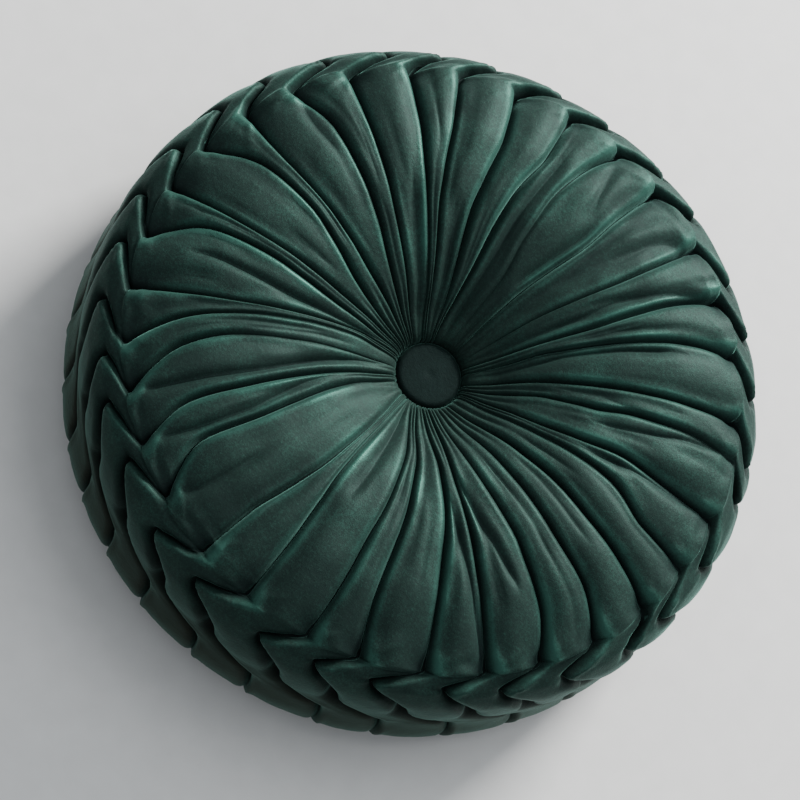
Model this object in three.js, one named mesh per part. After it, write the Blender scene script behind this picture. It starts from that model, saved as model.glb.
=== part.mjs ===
import * as THREE from 'three';

// A round velvet cushion with a gathered face, a smocked side band and a covered button at each hub.
// Millimetres and degrees. +Z is up, the cushion lies on its back on z = 0, centred on the Z axis.

// Driving dimensions.
const DIAMETER = 380;
const HEIGHT = 118;
const BUTTON_DIAMETER = 40;
const BUTTON_THICKNESS = 8.7;
const TOP_DIMPLE_FLOOR = 73.5;
const BOTTOM_DIMPLE_FLOOR = 34;
const SEAT_CLEARANCE = 0.3;
const STITCH_RING_RADIUS = 172;
const HUB_RING_RADIUS = 22;
// Where a crease has its depth for half way in, and where it has come to its depth for the rim.
const MID_FACE_RADIUS = 85;
const NEAR_RIM_RADIUS = 150;
// The buttons are tied a little off the middle of the band, and the band is a little out of round.
const HUB_OFFSET = { x: 2, y: 2.9 };
const OVAL_SHIFT = 1.6;
const OVAL_STRETCH = 1.1;

// The section is drawn at these two sizes, so every station scales with the diameter and the height.
const DRAWN_DIAMETER = 380;
const DRAWN_HEIGHT = 118;
const ACROSS = DIAMETER / DRAWN_DIAMETER;
const UPWARD = HEIGHT / DRAWN_HEIGHT;

// The pleats. A row is one crease, listed anticlockwise. The columns are its azimuth at the stitch
// ring and at six rings of the face on the way to the hub, and how deep it is cut near the rim and
// half way in, as a share of the full fold depth.
const FACE_RINGS = [STITCH_RING_RADIUS, 140, 110, 85, 60, 40, HUB_RING_RADIUS];
const PLEATS = [
  { azimuths: [5.0, 5.2, 9.0, 9.6, 8.5, 6.0, 3.0], rim: 0.6, mid: 0.6 },
  { azimuths: [16.3, 16.5, 17.4, 15.3, 13.1, 12.0, 10.0], rim: 0.7, mid: 1.0 },
  { azimuths: [28.5, 30.0, 30.2, 28.4, 28.2, 24.5, 18.0], rim: 0.4, mid: 1.0 },
  { azimuths: [36.0, 36.6, 37.1, 37.3, 37.0, 35.0, 28.0], rim: 0.9, mid: 0.9 },
  { azimuths: [48.6, 50.9, 52.0, 52.5, 52.4, 50.0, 46.0], rim: 0.8, mid: 0.9 },
  { azimuths: [59.6, 60.3, 59.5, 58.4, 58.0, 57.2, 55.0], rim: 1.0, mid: 1.0 },
  { azimuths: [70.0, 69.5, 69.1, 69.6, 70.5, 70.0, 68.0], rim: 0.7, mid: 0.3 },
  { azimuths: [83.0, 83.4, 82.9, 84.2, 86.0, 86.5, 86.0], rim: 1.0, mid: 0.9 },
  { azimuths: [93.0, 97.0, 99.2, 99.5, 97.5, 98.5, 101.0], rim: 0.8, mid: 0.2 },
  { azimuths: [104.1, 105.0, 108.8, 111.1, 113.2, 117.0, 124.5], rim: 0.8, mid: 1.0 },
  { azimuths: [115.4, 115.8, 118.5, 121.2, 122.2, 123.5, 130.0], rim: 1.0, mid: 0.9 },
  { azimuths: [126.8, 128.4, 131.2, 133.6, 134.7, 136.5, 139.5], rim: 0.7, mid: 0.7 },
  { azimuths: [136.8, 136.4, 137.0, 137.6, 138.5, 140.4, 146.0], rim: 1.0, mid: 1.0 },
  { azimuths: [148.8, 149.0, 149.3, 150.2, 151.4, 154.3, 160.5], rim: 1.0, mid: 0.9 },
  { azimuths: [160.6, 156.7, 156.4, 157.2, 160.3, 163.5, 167.0], rim: 0.9, mid: 0.8 },
  { azimuths: [171.0, 172.3, 171.6, 171.3, 171.6, 171.6, 174.0], rim: 1.0, mid: 0.9 },
  { azimuths: [182.0, 176.6, 175.6, 177.2, 181.0, 183.0, 182.0], rim: 0.9, mid: 1.0 },
  { azimuths: [192.1, 192.2, 191.9, 191.7, 191.7, 190.7, 189.0], rim: 0.9, mid: 0.9 },
  { azimuths: [202.5, 196.4, 195.6, 196.2, 197.0, 196.8, 195.0], rim: 1.0, mid: 1.0 },
  { azimuths: [213.0, 212.6, 211.6, 209.8, 206.6, 202.8, 200.5], rim: 1.0, mid: 0.8 },
  { azimuths: [223.3, 217.8, 214.8, 212.6, 209.6, 207.2, 207.0], rim: 0.8, mid: 0.7 },
  { azimuths: [232.3, 223.8, 220.6, 219.8, 219.0, 219.0, 219.0], rim: 1.0, mid: 0.3 },
  { azimuths: [242.2, 236.4, 235.2, 233.8, 232.4, 231.8, 231.0], rim: 0.8, mid: 0.9 },
  { azimuths: [252.4, 245.2, 244.6, 242.8, 240.0, 238.6, 240.0], rim: 0.9, mid: 0.8 },
  { azimuths: [264.2, 264.0, 265.6, 267.0, 267.1, 265.8, 261.0], rim: 1.0, mid: 1.0 },
  { azimuths: [275.1, 274.9, 273.7, 272.0, 271.4, 271.3, 271.0], rim: 1.0, mid: 1.0 },
  { azimuths: [287.8, 289.3, 290.2, 291.5, 292.0, 288.8, 281.0], rim: 0.8, mid: 0.7 },
  { azimuths: [298.0, 297.0, 298.1, 299.1, 299.1, 295.0, 289.5], rim: 1.0, mid: 0.9 },
  { azimuths: [310.1, 310.8, 311.9, 313.0, 311.6, 306.0, 298.0], rim: 0.9, mid: 1.0 },
  { azimuths: [321.6, 321.5, 321.1, 319.9, 317.4, 314.7, 307.0], rim: 0.9, mid: 0.9 },
  { azimuths: [332.2, 334.8, 334.6, 332.6, 328.5, 323.0, 316.0], rim: 0.9, mid: 0.5 },
  { azimuths: [343.3, 345.9, 345.3, 345.1, 343.4, 337.5, 328.0], rim: 0.8, mid: 0.5 },
  { azimuths: [354.8, 356.2, 356.5, 357.0, 355.5, 350.5, 341.0], rim: 0.8, mid: 0.8 },
];

// The section from the top hub over the crown, down the band and in to the bottom hub. The radius
// and height give the crests of the folds. Depth is how far a full crease lies below them. Swing is
// how far the crease has moved round since the stitch above it: from each stitch it runs back along
// the rim, then forward down the band, and drops to the lower stitch ring.
const FACE = 'face';
const BAND = 'band';
const BACK = 'back';
const STATIONS = [
  { zone: FACE, radius: 16, height: TOP_DIMPLE_FLOOR, depth: 0, swing: 0 },
  { zone: FACE, radius: 22.3, height: 75.5, depth: 0.6, swing: 0 },
  { zone: FACE, radius: 26, height: 83, depth: 2.2, swing: 0 },
  { zone: FACE, radius: 35, height: 92.5, depth: 4, swing: 0 },
  { zone: FACE, radius: 47, height: 100.2, depth: 6, swing: 0 },
  { zone: FACE, radius: 64, height: 107.6, depth: 7.5, swing: 0 },
  { zone: FACE, radius: 84, height: 113.8, depth: 8.5, swing: 0 },
  { zone: FACE, radius: 106, height: 117.6, depth: 9, swing: 0 },
  { zone: FACE, radius: 128, height: 118, depth: 9.5, swing: 0 },
  { zone: FACE, radius: 148, height: 115.4, depth: 10, swing: 0 },
  { zone: FACE, radius: 163, height: 112, depth: 11, swing: 0 },
  { zone: BAND, radius: 174, height: 108, depth: 9, swing: 0 },
  { zone: BAND, radius: 181, height: 103.5, depth: 5, swing: -5 },
  { zone: BAND, radius: 185.5, height: 98.5, depth: 5.5, swing: -8.5 },
  { zone: BAND, radius: 189, height: 90, depth: 9, swing: -4.4 },
  { zone: BAND, radius: 190, height: 80, depth: 9.5, swing: -1.8 },
  { zone: BAND, radius: 189.4, height: 70, depth: 7, swing: 0.8 },
  { zone: BAND, radius: 188.2, height: 61, depth: 4, swing: 5 },
  { zone: BAND, radius: 188.8, height: 52, depth: 6, swing: 8 },
  { zone: BAND, radius: 190, height: 36, depth: 8.5, swing: 9.8 },
  { zone: BAND, radius: 188, height: 20, depth: 8.5, swing: 10.2 },
  { zone: BAND, radius: 180, height: 8.5, depth: 7, swing: 9.6 },
  { zone: BACK, radius: 167, height: 2.4, depth: 5, swing: 9.2 },
  { zone: BACK, radius: 150, height: 0, depth: 3, swing: 0 },
  { zone: BACK, radius: 115, height: 0, depth: 2.5, swing: 0 },
  { zone: BACK, radius: 82, height: 0, depth: 2.5, swing: 0 },
  { zone: BACK, radius: 60, height: 4.5, depth: 3.5, swing: 0 },
  { zone: BACK, radius: 42, height: 13.5, depth: 3, swing: 0 },
  { zone: BACK, radius: 29, height: 23, depth: 1.8, swing: 0 },
  { zone: BACK, radius: 22.3, height: 32, depth: 0.5, swing: 0 },
  { zone: BACK, radius: 16, height: BOTTOM_DIMPLE_FLOOR, depth: 0, swing: 0 },
];

// One pleat across, from its own crease to the next: a steep rounded edge that leans back over the
// crease, a full crown, and a longer fall to the following crease. Sink is the share of the crease
// depth, and lean is the overhang as a share of that depth.
const ACROSS_PLEAT = [
  { share: 0, sink: 1, lean: 0 },
  { share: 0.1, sink: 0.3, lean: 0.14 },
  { share: 0.33, sink: 0, lean: 0.08 },
  { share: 0.63, sink: 0.05, lean: 0 },
  { share: 0.87, sink: 0.42, lean: 0 },
];

// A crease is never deeper than this share of the narrower pleat beside it.
const STEEPEST_FOLD = 0.55;

const COUNT = PLEATS.length;
const PITCH = 360 / COUNT;
const TOTAL_DRIFT = PLEATS.reduce((sum, pleat, index) => sum + pleat.azimuths[0] - index * PITCH, 0);
const REGULAR_START = TOTAL_DRIFT / COUNT;
const LOWER_STITCH_SWING = 9.2;

function wrapped(index) {
  return ((index % COUNT) + COUNT) % COUNT;
}

function turnsBefore(index) {
  return Math.floor(index / COUNT);
}

function blend(from, to, share) {
  return from + (to - from) * share;
}

// The azimuth of a crease on the face, between the rings of the pleat table.
function faceAzimuth(pleat, radius) {
  let ring = 1;
  while (ring < FACE_RINGS.length - 1 && FACE_RINGS[ring] > radius) {
    ring += 1;
  }
  const outer = FACE_RINGS[ring - 1];
  const inner = FACE_RINGS[ring];
  const share = THREE.MathUtils.clamp((outer - radius) / (outer - inner), 0, 1);
  return blend(pleat.azimuths[ring - 1], pleat.azimuths[ring], share);
}

// The azimuth of a crease at a station. On the back the creases even out towards the hub.
function creaseAzimuth(station, index) {
  const pleat = PLEATS[wrapped(index)];
  const turn = 360 * turnsBefore(index);
  if (station.zone === FACE) {
    return turn + faceAzimuth(pleat, station.radius);
  }
  const stitched = pleat.azimuths[0] + station.swing;
  if (station.zone === BAND) {
    return turn + stitched;
  }
  const even = REGULAR_START + wrapped(index) * PITCH + LOWER_STITCH_SWING;
  const share = 1 - THREE.MathUtils.smoothstep(station.radius, HUB_RING_RADIUS, STITCH_RING_RADIUS);
  return turn + blend(pleat.azimuths[0] + LOWER_STITCH_SWING, even, share);
}

// How deep a crease is at a station: full on the band and back, its own share on the face.
function creaseDepth(station, index) {
  const pleat = PLEATS[wrapped(index)];
  const before = creaseAzimuth(station, index) - creaseAzimuth(station, index - 1);
  const after = creaseAzimuth(station, index + 1) - creaseAzimuth(station, index);
  const narrower = THREE.MathUtils.degToRad(Math.min(before, after)) * station.radius;
  let strength = 1;
  if (station.zone === FACE) {
    const towardsRim = THREE.MathUtils.smoothstep(station.radius, MID_FACE_RADIUS, NEAR_RIM_RADIUS);
    strength = blend(pleat.mid, pleat.rim, towardsRim);
  }
  return Math.min(station.depth * strength, narrower * STEEPEST_FOLD);
}

// The outward direction of the section at a station, as a radial and an upward part.
function outwardDirection(index) {
  const before = STATIONS[Math.max(index - 1, 0)];
  const after = STATIONS[Math.min(index + 1, STATIONS.length - 1)];
  const radial = before.height - after.height;
  const upward = after.radius - before.radius;
  const length = Math.hypot(radial, upward);
  return { radial: radial / length, upward: upward / length };
}

function coverPoint(stationIndex, index, column) {
  const station = STATIONS[stationIndex];
  const left = creaseAzimuth(station, index);
  const right = creaseAzimuth(station, index + 1);
  const nearest = column.share < 0.5 ? index : index + 1;
  const depth = creaseDepth(station, nearest);
  const pressedFlat = station.zone === BACK && station.height === 0;
  const sink = pressedFlat && column.share > 0 ? 0 : column.sink;
  const outward = pressedFlat ? { radial: 0, upward: -1 } : outwardDirection(stationIndex);
  const lean = (station.zone === BACK ? 0 : column.lean * depth) / station.radius;
  const azimuth = THREE.MathUtils.degToRad(blend(left, right, column.share)) - lean;
  const oval = OVAL_SHIFT * Math.cos(azimuth) + OVAL_STRETCH * Math.sin(2 * azimuth);
  const towardsRim = THREE.MathUtils.smoothstep(station.radius, HUB_RING_RADIUS, STITCH_RING_RADIUS);
  const radius = station.radius * ACROSS + oval * towardsRim - outward.radial * depth * sink;
  const height = station.height * UPWARD - outward.upward * depth * sink;
  const x = HUB_OFFSET.x * (1 - towardsRim) + radius * Math.cos(azimuth);
  const y = HUB_OFFSET.y * (1 - towardsRim) + radius * Math.sin(azimuth);
  return new THREE.Vector3(x, y, height);
}

function hubPoint(height) {
  return new THREE.Vector3(HUB_OFFSET.x, HUB_OFFSET.y, height);
}

// Two triangles over a four-sided patch, split along its shorter diagonal.
function addPatch(faces, points, a, b, c, d) {
  if (points[a].distanceTo(points[c]) < points[b].distanceTo(points[d])) {
    faces.push(a, b, c, a, c, d);
  } else {
    faces.push(a, b, d, b, c, d);
  }
}

function meshGeometry(points, faces) {
  const geometry = new THREE.BufferGeometry().setFromPoints(points);
  geometry.setIndex(faces);
  geometry.computeVertexNormals();
  return geometry;
}

// The filled cover: one ring of points at each station, closed by a fan at each hub.
function coverGeometry() {
  const points = [];
  const faces = [];
  const columns = COUNT * ACROSS_PLEAT.length;
  STATIONS.forEach((station, stationIndex) => {
    for (let index = 0; index < COUNT; index += 1) {
      ACROSS_PLEAT.forEach((column) => points.push(coverPoint(stationIndex, index, column)));
    }
  });
  for (let ring = 0; ring < STATIONS.length - 1; ring += 1) {
    for (let column = 0; column < columns; column += 1) {
      const next = (column + 1) % columns;
      const inner = ring * columns;
      const outer = inner + columns;
      addPatch(faces, points, inner + column, outer + column, outer + next, inner + next);
    }
  }
  const lastRing = (STATIONS.length - 1) * columns;
  const topHub = points.push(hubPoint(TOP_DIMPLE_FLOOR * UPWARD)) - 1;
  const bottomHub = points.push(hubPoint(BOTTOM_DIMPLE_FLOOR * UPWARD)) - 1;
  for (let column = 0; column < columns; column += 1) {
    const next = (column + 1) % columns;
    faces.push(topHub, column, next);
    faces.push(bottomHub, lastRing + next, lastRing + column);
  }
  return meshGeometry(points, faces);
}

// A covered button: a flat back with a turned-in edge, a full round rim and a low domed front.
function buttonGeometry() {
  const rim = BUTTON_DIAMETER / 2;
  const thick = BUTTON_THICKNESS;
  const outline = [
    [0, 0],
    [rim * 0.7, 0],
    [rim * 0.92, thick * 0.13],
    [rim, thick * 0.42],
    [rim * 0.96, thick * 0.72],
    [rim * 0.81, thick * 0.9],
    [rim * 0.48, thick * 0.98],
    [0, thick],
  ].map(([radius, height]) => new THREE.Vector2(radius, height));
  const aroundSteps = 48;
  const geometry = new THREE.LatheGeometry(outline, aroundSteps);
  geometry.rotateX(Math.PI / 2);
  return geometry;
}

function velvet(colour) {
  return new THREE.MeshStandardMaterial({ color: colour, roughness: 0.85, metalness: 0 });
}

const cushion = new THREE.Mesh(coverGeometry(), velvet(0x284b3e));
cushion.name = 'cushion';

const topButton = new THREE.Mesh(buttonGeometry(), velvet(0x223f37));
topButton.name = 'top_button';
topButton.position.copy(hubPoint(TOP_DIMPLE_FLOOR * UPWARD + SEAT_CLEARANCE));

const bottomButton = new THREE.Mesh(buttonGeometry(), velvet(0x223f37));
bottomButton.name = 'bottom_button';
bottomButton.rotation.x = Math.PI;
bottomButton.position.copy(hubPoint(BOTTOM_DIMPLE_FLOOR * UPWARD - SEAT_CLEARANCE));

const group = new THREE.Group();
group.add(cushion, topButton, bottomButton);

// The uneven folds leave the outline a little off centre, so it is brought back onto the Z axis.
const outline = new THREE.Box3().setFromObject(group);
const middle = outline.getCenter(new THREE.Vector3());
group.position.set(-middle.x, -middle.y, -outline.min.z);
group.updateMatrixWorld(true);

export default group;
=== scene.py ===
import math

import bpy
import numpy as np
from mathutils import Matrix, Vector, noise


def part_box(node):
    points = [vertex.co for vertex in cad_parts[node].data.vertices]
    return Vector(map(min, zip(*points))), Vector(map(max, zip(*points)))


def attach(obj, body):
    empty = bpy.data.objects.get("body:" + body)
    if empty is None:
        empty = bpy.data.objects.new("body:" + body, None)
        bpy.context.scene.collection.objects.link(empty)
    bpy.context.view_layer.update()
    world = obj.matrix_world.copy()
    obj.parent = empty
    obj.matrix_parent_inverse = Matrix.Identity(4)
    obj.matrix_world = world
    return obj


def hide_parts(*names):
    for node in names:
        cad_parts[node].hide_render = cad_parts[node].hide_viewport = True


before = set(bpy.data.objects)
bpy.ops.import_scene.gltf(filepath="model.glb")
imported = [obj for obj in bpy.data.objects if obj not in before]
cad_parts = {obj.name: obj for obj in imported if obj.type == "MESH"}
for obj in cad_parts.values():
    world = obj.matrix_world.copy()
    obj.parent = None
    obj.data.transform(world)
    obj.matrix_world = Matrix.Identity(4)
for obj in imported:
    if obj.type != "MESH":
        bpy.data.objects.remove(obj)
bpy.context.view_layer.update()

MM = 0.001

# The cushion's own sizes, in millimetres and degrees, as its solid has them.
HUB_OFFSET = (2.0, 2.9)
OVAL_SHIFT = 1.6
OVAL_STRETCH = 1.1
STITCH_RING_RADIUS = 172.0
HUB_RING_RADIUS = 22.0
LOWER_STITCH_SWING = 9.2
FACE_RINGS = (172, 140, 110, 85, 60, 40, 22)

# The pleats, anticlockwise. A row is the crease on a pleat's low side. The columns are its azimuth
# at each ring of the face, how deep it is cut near the rim and half way in, the strength of the
# small gather beside it at the button, and how far the pleat's crown stands up, in millimetres.
PLEATS = (
    ((5.0, 5.2, 9.0, 9.6, 8.5, 6.0, 3.0), 0.6, 0.6, 0.8, 0.0),
    ((16.3, 16.5, 17.4, 15.3, 13.1, 12.0, 10.0), 0.7, 1.0, 0.6, 0.3),
    ((28.5, 30.0, 30.2, 28.4, 28.2, 24.5, 18.0), 0.4, 1.0, 0.9, -0.3),
    ((36.0, 36.6, 37.1, 37.3, 37.0, 35.0, 28.0), 0.9, 0.9, 0.3, 0.2),
    ((48.6, 50.9, 52.0, 52.5, 52.4, 50.0, 46.0), 0.8, 0.9, 0.8, -0.4),
    ((59.6, 60.3, 59.5, 58.4, 58.0, 57.2, 55.0), 1.0, 1.0, 0.5, 0.1),
    ((70.0, 69.5, 69.1, 69.6, 70.5, 70.0, 68.0), 0.7, 0.3, 0.9, 0.3),
    ((83.0, 83.4, 82.9, 84.2, 86.0, 86.5, 86.0), 1.0, 0.9, 0.8, 0.0),
    ((93.0, 97.0, 99.2, 99.5, 97.5, 98.5, 101.0), 0.8, 0.2, 0.4, -0.2),
    ((104.1, 105.0, 108.8, 111.1, 113.2, 117.0, 124.5), 0.8, 1.0, 0.7, 0.4),
    ((115.4, 115.8, 118.5, 121.2, 122.2, 123.5, 130.0), 1.0, 0.9, 0.3, 0.0),
    ((126.8, 128.4, 131.2, 133.6, 134.7, 136.5, 139.5), 0.7, 0.7, 0.9, -0.3),
    ((136.8, 136.4, 137.0, 137.6, 138.5, 140.4, 146.0), 1.0, 1.0, 0.4, 0.3),
    ((148.8, 149.0, 149.3, 150.2, 151.4, 154.3, 160.5), 1.0, 0.9, 0.8, 0.1),
    ((160.6, 156.7, 156.4, 157.2, 160.3, 163.5, 167.0), 0.9, 0.8, 0.6, -0.2),
    ((171.0, 172.3, 171.6, 171.3, 171.6, 171.6, 174.0), 1.0, 0.9, 0.9, 0.2),
    ((182.0, 176.6, 175.6, 177.2, 181.0, 183.0, 182.0), 0.9, 1.0, 0.7, -0.1),
    ((192.1, 192.2, 191.9, 191.7, 191.7, 190.7, 189.0), 0.9, 0.9, 0.5, 0.2),
    ((202.5, 196.4, 195.6, 196.2, 197.0, 196.8, 195.0), 1.0, 1.0, 0.2, 0.4),
    ((213.0, 212.6, 211.6, 209.8, 206.6, 202.8, 200.5), 1.0, 0.8, 0.4, -0.3),
    ((223.3, 217.8, 214.8, 212.6, 209.6, 207.2, 207.0), 0.8, 0.7, 0.0, 0.3),
    ((232.3, 223.8, 220.6, 219.8, 219.0, 219.0, 219.0), 1.0, 0.3, 0.3, 0.0),
    ((242.2, 236.4, 235.2, 233.8, 232.4, 231.8, 231.0), 0.8, 0.9, 0.6, 0.1),
    ((252.4, 245.2, 244.6, 242.8, 240.0, 238.6, 240.0), 0.9, 0.8, 0.2, 0.4),
    ((264.2, 264.0, 265.6, 267.0, 267.1, 265.8, 261.0), 1.0, 1.0, 0.7, -0.2),
    ((275.1, 274.9, 273.7, 272.0, 271.4, 271.3, 271.0), 1.0, 1.0, 0.5, 0.2),
    ((287.8, 289.3, 290.2, 291.5, 292.0, 288.8, 281.0), 0.8, 0.7, 0.9, 0.0),
    ((298.0, 297.0, 298.1, 299.1, 299.1, 295.0, 289.5), 1.0, 0.9, 0.7, -0.3),
    ((310.1, 310.8, 311.9, 313.0, 311.6, 306.0, 298.0), 0.9, 1.0, 0.8, 0.2),
    ((321.6, 321.5, 321.1, 319.9, 317.4, 314.7, 307.0), 0.9, 0.9, 0.6, 0.0),
    ((332.2, 334.8, 334.6, 332.6, 328.5, 323.0, 316.0), 0.9, 0.5, 0.9, 0.3),
    ((343.3, 345.9, 345.3, 345.1, 343.4, 337.5, 328.0), 0.8, 0.5, 0.8, -0.1),
    ((354.8, 356.2, 356.5, 357.0, 355.5, 350.5, 341.0), 0.8, 0.8, 0.9, 0.1),
)

# Lesser folds of the face. A row is a fold: the pleat it lies in, its path outwards as pairs of
# radius and azimuth, its depth and its width, and how sharp it is, from a soft trough to a crease.
SIDE_FOLDS = (
    (0, ((90, 12.3), (108, 14.0), (120, 14.8), (140, 14.9), (163, 15.5)), 3.0, 3.4, 0.6),
    (1, ((90, 23.2), (105, 24.5), (120, 25.8), (145, 28.0), (160, 28.5)), 3.0, 3.0, 0.7),
    (1, ((95, 21.5), (112, 23.0), (135, 24.5), (155, 24.8)), 1.8, 3.0, 0.4),
    (1, ((123, 17.8), (140, 17.8)), 1.2, 3.0, 0.3),
    (2, ((72, 33.0), (90, 33.0), (97, 32.0), (110, 31.0)), 1.6, 3.0, 0.4),
    (3, ((24, 39.5), (33, 42.5), (45, 45.0), (57, 47.0), (70, 49.0), (95, 49.3),
         (130, 48.6)), 3.6, 3.2, 0.8),
    (5, ((28, 62.0), (50, 62.5), (80, 63.0), (105, 64.0), (130, 63.0),
         (160, 61.0)), 3.0, 3.2, 0.6),
    (5, ((86, 66.3), (100, 65.5), (110, 64.3), (122, 63.0)), 1.4, 2.6, 0.3),
    (6, ((42, 78.5), (60, 78.8), (80, 78.5), (95, 77.0), (125, 75.2), (155, 73.0),
         (163, 71.0)), 3.4, 5.5, 0.2),
    (6, ((83, 79.3), (100, 80.0), (130, 80.0), (145, 79.3), (163, 77.3)), 2.2, 3.0, 0.6),
    (7, ((64, 90.0), (75, 88.5), (87, 87.0), (105, 86.0), (118, 85.3)), 3.4, 3.0, 0.8),
    (7, ((116, 88.6), (130, 89.5), (145, 90.8), (162, 91.6)), 2.4, 3.2, 0.5),
    (8, ((23, 113.5), (28, 111.0), (38, 109.0), (65, 106.5), (95, 105.0), (120, 103.0),
         (140, 101.4)), 4.2, 5.0, 0.6),
    (8, ((96, 108.5), (110, 107.3), (127, 106.0)), 1.4, 2.2, 0.6),
    (10, ((24, 134.2), (40, 129.5), (60, 127.5), (92, 127.0)), 2.4, 4.6, 0.2),
    (12, ((24, 150.4), (38, 146.0), (50, 144.5), (70, 143.3), (98, 142.0)), 2.6, 4.6, 0.2),
    (14, ((130, 160.0), (142, 161.0), (152, 161.2), (166, 160.8)), 2.0, 3.0, 0.5),
    (18, ((28, 198.2), (38, 201.0), (60, 203.8), (90, 204.2), (115, 203.2),
         (135, 202.7), (144, 203.5)), 3.8, 3.4, 0.8),
    (19, ((128, 207.4), (150, 209.3), (165, 211.0)), 2.2, 3.4, 0.5),
    (21, ((28, 220.8), (45, 223.5), (75, 228.0), (100, 231.0), (140, 232.3),
         (166, 233.0)), 4.0, 3.4, 0.8),
    (21, ((78, 222.5), (112, 222.7)), 1.2, 4.0, 0.0),
    (21, ((93, 228.5), (112, 228.5)), 1.0, 3.6, 0.0),
    (22, ((66, 235.4), (76, 236.5), (97, 240.0), (112, 242.0), (145, 242.8),
         (162, 242.5)), 3.6, 3.2, 0.8),
    (23, ((118, 254.2), (138, 254.8), (155, 254.3), (169, 252.6)), 3.0, 3.6, 0.6),
    (23, ((20, 248.4), (30, 245.0), (40, 243.2), (60, 244.2)), 2.2, 4.0, 0.2),
    (24, ((93, 268.2), (108, 267.5), (120, 266.8), (135, 265.9)), 2.8, 2.8, 0.8),
    (25, ((23, 275.8), (30, 278.0), (40, 280.0), (70, 280.5), (96, 279.7)), 2.8, 3.4, 0.5),
    (25, ((98, 275.0), (130, 276.5), (147, 276.2)), 0.9, 3.4, 0.0),
    (26, ((73, 296.0), (110, 297.0), (132, 296.0)), 1.2, 4.2, 0.0),
    (27, ((43, 302.5), (82, 303.5)), 1.4, 3.6, 0.0),
    (28, ((81, 314.6), (93, 316.0), (108, 317.3), (122, 318.5), (145, 319.5),
         (167, 320.4)), 3.4, 3.0, 0.7),
    (29, ((66, 319.8), (80, 322.3), (93, 324.5), (105, 326.8), (120, 328.7),
         (130, 329.8)), 3.6, 3.4, 0.7),
)

# The section from the top hub over the crown, down the band and in to the bottom hub. The columns
# are the zone, the radius and height of the crests, the depth of a crease's slit and of its soft
# trough, how far the crease has moved round since the stitch above it, how far the upper edge
# leans over the crease, how far the soft side falls away, how far the slit stands open to each
# side, and the rows of points to the next stop.
FACE, BAND, BACK = "face", "band", "back"
STATIONS = (
    (FACE, 15.0, 73.5, 0.0, 0.0, 0.0, 0.0, 4.0, 0.0, 1),
    (FACE, 18.9, 77.0, 0.2, 0.1, 0.0, 0.0, 4.0, 0.0, 2),
    (FACE, 19.6, 82.6, 0.7, 0.4, 0.0, 0.1, 4.0, 0.0, 2),
    (FACE, 22.8, 87.0, 1.7, 0.9, 0.0, 0.2, 4.0, 0.0, 3),
    (FACE, 35.0, 93.4, 3.0, 1.8, 0.0, 0.3, 4.0, 0.1, 3),
    (FACE, 47.0, 100.4, 3.8, 2.6, 0.0, 0.4, 4.0, 0.2, 4),
    (FACE, 64.0, 107.6, 4.4, 3.6, 0.0, 0.5, 4.0, 0.3, 4),
    (FACE, 84.0, 113.8, 4.8, 4.6, 0.0, 0.6, 5.0, 0.35, 4),
    (FACE, 106.0, 117.6, 5.0, 5.6, 0.0, 0.8, 6.0, 0.4, 4),
    (FACE, 128.0, 118.0, 5.2, 6.2, 0.0, 1.0, 8.0, 0.45, 4),
    (FACE, 148.0, 115.4, 5.4, 6.8, 0.0, 1.3, 10.0, 0.5, 5),
    (FACE, 163.0, 112.0, 5.6, 7.0, 0.0, 1.6, 11.0, 0.6, 7),
    (BAND, 174.0, 108.0, 6.4, 4.6, 0.0, 1.4, 10.0, 1.6, 9),
    (BAND, 180.5, 104.0, 5.2, 2.0, -5.6, 0.8, 8.0, 1.6, 6),
    (BAND, 184.6, 100.0, 4.2, 1.6, -8.6, 0.6, 8.0, 1.0, 6),
    (BAND, 189.0, 90.0, 5.8, 1.8, -4.8, 0.3, 8.0, 1.9, 5),
    (BAND, 190.0, 80.0, 7.4, 2.4, -2.2, 0.2, 8.0, 2.4, 4),
    (BAND, 189.6, 71.0, 7.2, 2.4, -1.3, 0.1, 8.0, 2.3, 5),
    (BAND, 188.4, 61.5, 5.0, 1.6, 3.4, 0.1, 5.0, 1.0, 5),
    (BAND, 188.6, 54.0, 4.8, 1.8, 8.2, 0.1, 5.0, 0.8, 5),
    (BAND, 189.6, 36.0, 2.8, 1.2, 9.8, 0.3, 7.0, 0.8, 4),
    (BAND, 187.4, 20.0, 2.0, 0.7, 10.0, 0.4, 7.0, 0.8, 4),
    (BAND, 180.0, 8.5, 2.2, 0.7, 9.4, 0.4, 6.0, 0.7, 4),
    (BACK, 167.0, 2.4, 3.4, 1.2, 9.2, 0.3, 5.0, 0.5, 3),
    (BACK, 150.0, 0.0, 2.6, 0.2, 0.0, 0.2, 4.0, 0.4, 2),
    (BACK, 115.0, 0.0, 2.4, 0.1, 0.0, 0.1, 4.0, 0.4, 2),
    (BACK, 82.0, 0.0, 2.4, 0.2, 0.0, 0.1, 4.0, 0.4, 2),
    (BACK, 60.0, 4.5, 2.6, 1.4, 0.0, 0.1, 4.0, 0.4, 2),
    (BACK, 42.0, 13.5, 2.4, 1.4, 0.0, 0.1, 4.0, 0.3, 2),
    (BACK, 29.0, 21.0, 1.8, 1.0, 0.0, 0.1, 4.0, 0.1, 2),
    (BACK, 21.4, 27.0, 1.0, 0.5, 0.0, 0.0, 4.0, 0.0, 2),
    (BACK, 19.4, 32.8, 0.3, 0.1, 0.0, 0.0, 4.0, 0.0, 1),
    (BACK, 15.0, 34.0, 0.0, 0.0, 0.0, 0.0, 4.0, 0.0, 0),
)

# Where the columns of points lie between a crease and the middle of its pleat.
HALF_PLEAT = (0.0, 0.02, 0.05, 0.09, 0.15, 0.23, 0.33, 0.45, 0.58, 0.71, 0.83, 0.93)
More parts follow.
